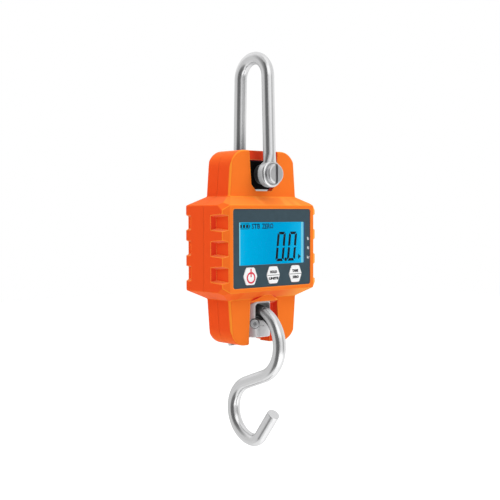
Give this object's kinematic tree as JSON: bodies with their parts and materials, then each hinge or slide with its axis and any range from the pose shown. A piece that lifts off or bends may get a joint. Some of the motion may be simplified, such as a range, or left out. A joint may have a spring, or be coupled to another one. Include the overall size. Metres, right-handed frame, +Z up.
{
  "type": "digital hanging scale",
  "caption": "Small hanging scale: orange case with backlit display and keys, long steel shackle above, open S-hook below.",
  "frame": {"origin": "where a lifting hook bears inside the top of the shackle's bow, on the load line", "axes": "+Z up along the load line, +Y from the display to the battery door, +X across the display"},
  "size_m": [0.0834, 0.0542, 0.2641],
  "materials": {
    "orange_plastic": "satin, moulded in colour",
    "seal_rubber": "soft matte",
    "screw_steel": "black oxide",
    "polished_steel": "polished stainless",
    "zinc_steel": "dark zinc",
    "black_nylon": "satin",
    "black_steel": "blackened",
    "cell_aluminium": "milled",
    "gauge_foil": "amber film",
    "red_wire": "insulated",
    "black_wire": "insulated",
    "bright_steel": "bright turned",
    "slate_panel": "printed polyester sheet",
    "clear_lens": "clear",
    "lcd_blue": "backlit display",
    "light_guide": "milky",
    "white_key": "satin",
    "switch_black": "satin",
    "board_green": "lacquered",
    "battery_wrap": "plain wrapped cell",
    "contact_nickel": "nickel plated"
  },
  "bodies": {
    "shackle": {"shackle": "polished_steel", "shackle_bolt": "zinc_steel", "shackle_nut": "zinc_steel", "lug_spacers": "black_nylon"},
    "housing": {"front_shell": "orange_plastic", "rear_shell": "orange_plastic", "case_seal": "seal_rubber", "case_screws": "screw_steel", "upper_lug": "black_steel", "upper_lug_screws": "screw_steel", "load_cell": "cell_aluminium", "load_cell_screws": "screw_steel", "strain_gauges": "gauge_foil", "gauge_wires": "red_wire", "lower_lug": "bright_steel", "lower_lug_screws": "screw_steel", "hook_saddle": "black_steel", "saddle_screws": "screw_steel", "saddle_washers": "zinc_steel", "display_panel": "slate_panel", "display_lens": "clear_lens", "lcd_glass": "lcd_blue", "lcd_connectors": "seal_rubber", "backlight": "light_guide", "tact_switches": "switch_black", "circuit_board": "board_green", "board_screws": "screw_steel", "board_chips": "switch_black", "buzzer": "switch_black", "battery_tray": "switch_black", "batteries": "battery_wrap", "battery_contacts": "contact_nickel", "battery_springs": "contact_nickel", "positive_lead": "red_wire", "negative_lead": "black_wire"},
    "hook": {"s_hook": "polished_steel"},
    "power_button": {"power_button": "white_key"},
    "hold_button": {"hold_button": "white_key"},
    "tare_button": {"tare_button": "white_key"},
    "battery_door": {"battery_door": "orange_plastic"}
  },
  "joints": [
    {"name": "shackle_swing", "type": "hinge", "parent": "shackle", "child": "housing", "pos_m": [0, 0, -0.073], "axis": [0, 1, 0], "range_deg": [-24, 24]},
    {"name": "hook_swing", "type": "hinge", "parent": "housing", "child": "hook", "pos_m": [0, 0, -0.1632], "axis": [0, 1, 0], "range_deg": [-20, 20]},
    {"name": "power_button_press", "type": "slide", "parent": "housing", "child": "power_button", "axis": [0, 1, 0], "range_m": [0, 0.0004], "stiffness_N_per_m": 500},
    {"name": "hold_button_press", "type": "slide", "parent": "housing", "child": "hold_button", "axis": [0, 1, 0], "range_m": [0, 0.0004], "stiffness_N_per_m": 500},
    {"name": "tare_button_press", "type": "slide", "parent": "housing", "child": "tare_button", "axis": [0, 1, 0], "range_m": [0, 0.0004], "stiffness_N_per_m": 500},
    {"name": "door_slide", "type": "slide", "parent": "housing", "child": "battery_door", "axis": [0, 0, -1], "range_m": [0, 0.006]}
  ]
}
